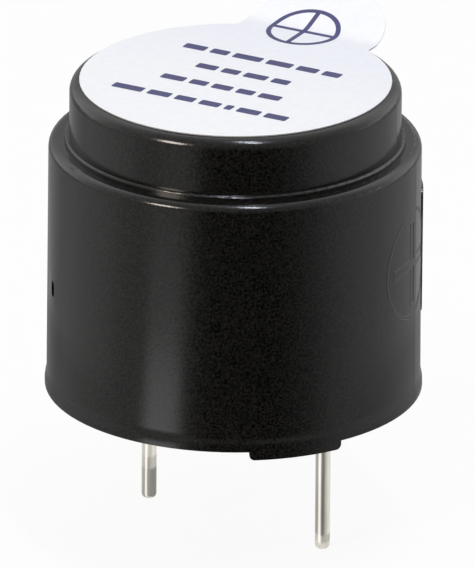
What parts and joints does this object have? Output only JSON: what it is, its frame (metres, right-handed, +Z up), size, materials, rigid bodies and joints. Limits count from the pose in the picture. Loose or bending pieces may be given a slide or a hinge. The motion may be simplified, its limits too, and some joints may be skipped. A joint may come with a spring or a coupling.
{
  "type": "magnetic buzzer",
  "caption": "Round stepped through-hole magnetic buzzer on two pins, with its drive circuit inside and a peel-off wash seal over the sound port.",
  "frame": {"origin": "centre of the pin pattern on the plane of the feet, where the case seats on a circuit board", "axes": "+Z up, parallel to the axis of the case, towards the sound port; +X towards the longer, positive pin. The axis of the case is at x = -0.14 mm, because the pins stand that far off its centre"},
  "size_m": [0.016, 0.0174, 0.022],
  "materials": {
    "case_plastic": "black moulded thermoplastic, satin to slightly glossy with a fine grain",
    "seal_film": "white printed film with an adhesive back, smooth and matte",
    "diaphragm_alloy": "thin rolled nickel-iron sheet",
    "mild_steel": "pressed and turned soft iron with a zinc flash",
    "ring_plastic": "dark grey moulded thermoplastic",
    "magnet_compound": "dark grey plastic-bonded ferrite",
    "bobbin_plastic": "natural nylon",
    "copper_wire": "enamelled copper wire",
    "board_laminate": "phenolic laminate with copper lands",
    "package_plastic": "black transfer-moulded epoxy",
    "ceramic_chip": "white ceramic chip with tinned end caps",
    "tinned_wire": "tinned round wire, bright with drawn streaks",
    "solder": "tin solder",
    "resin": "black cast epoxy"
  },
  "bodies": {
    "root": {"housing": "case_plastic", "wash_seal": "seal_film", "diaphragm": "diaphragm_alloy", "armature_disc": "mild_steel", "support_ring": "ring_plastic", "ring_magnet": "magnet_compound", "yoke_plate": "mild_steel", "pole_core": "mild_steel", "coil_bobbin": "bobbin_plastic", "drive_winding": "copper_wire", "feedback_winding": "copper_wire", "coil_leads": "copper_wire", "lead_solder": "solder", "circuit_board": "board_laminate", "transistor": "package_plastic", "base_resistor": "ceramic_chip", "clamp_diode": "package_plastic", "positive_pin": "tinned_wire", "negative_pin": "tinned_wire", "pin_solder": "solder", "sealing_resin": "resin"}
  },
  "joints": []
}
